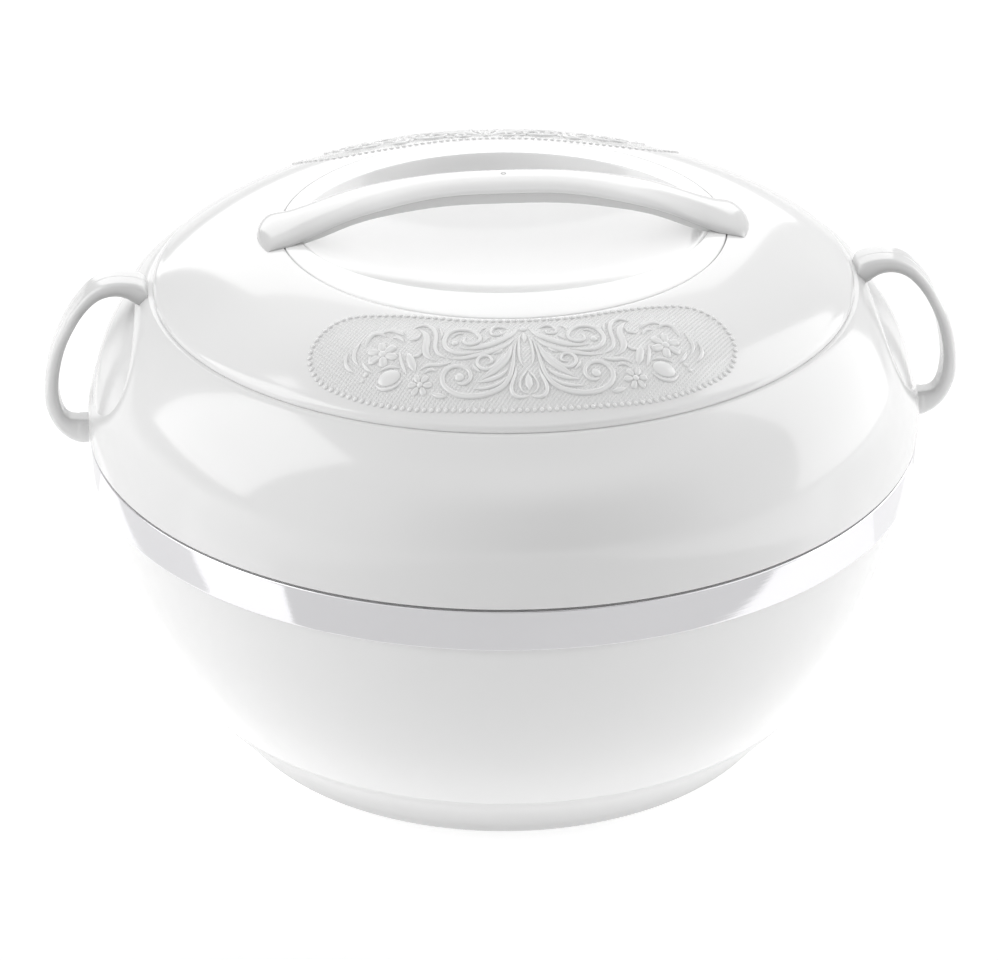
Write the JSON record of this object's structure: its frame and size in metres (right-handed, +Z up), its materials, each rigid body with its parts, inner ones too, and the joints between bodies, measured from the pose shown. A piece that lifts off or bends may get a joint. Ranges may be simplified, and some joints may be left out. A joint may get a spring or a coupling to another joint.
{
  "type": "thermal serving bowl",
  "caption": "Insulated round serving bowl with a white moulded body, bright band, strap side handles, steel food bowl and a lift-off domed lid with a dished grip under an arched bar.",
  "frame": {"origin": "on the table under the middle of the bowl, in the plane of the foot ring's underside", "axes": "+Z up along the bowl's axis; X through both side handles and along the lid's bar; the front faces -Y"},
  "size_m": [0.37, 0.337, 0.2441],
  "materials": {
    "white_shell": "smooth high-gloss white moulding",
    "white_lid": "high-gloss white moulding, with a raised scroll and flower pattern in two fields in front and behind",
    "white_handle": "high-gloss white moulding with rounded edges",
    "bright_band": "bright polished sheet metal",
    "bowl_steel": "drawn and lightly turned stainless sheet",
    "screw_steel": "plated screw steel",
    "foam": "rigid insulating foam, hidden",
    "seal_rubber": "translucent white silicone",
    "grip_rubber": "soft grey anti-slip ring"
  },
  "bodies": {
    "bowl_body": {"base_cover": "white_shell", "foot_ring": "grip_rubber", "fill_plug": "white_shell", "lower_shell": "white_shell", "trim_band": "bright_band", "upper_shell": "white_shell", "inner_bowl": "bowl_steel", "mouth_ring": "white_shell", "body_foam": "foam", "side_handle_right": "white_handle", "side_handle_left": "white_handle", "handle_screws": "screw_steel", "handle_washers": "screw_steel"},
    "lid": {"lid_cover": "white_lid", "lid_cup": "white_lid", "lid_bar": "white_handle", "lid_bar_screws": "screw_steel", "lid_base_ring": "white_lid", "lid_seal": "seal_rubber", "lid_liner": "bowl_steel", "lid_foam": "foam"}
  },
  "joints": [
    {"name": "lid_lift", "type": "slide", "parent": "bowl_body", "child": "lid", "axis": [0, 0, 1], "range_m": [0, 0.24]}
  ]
}
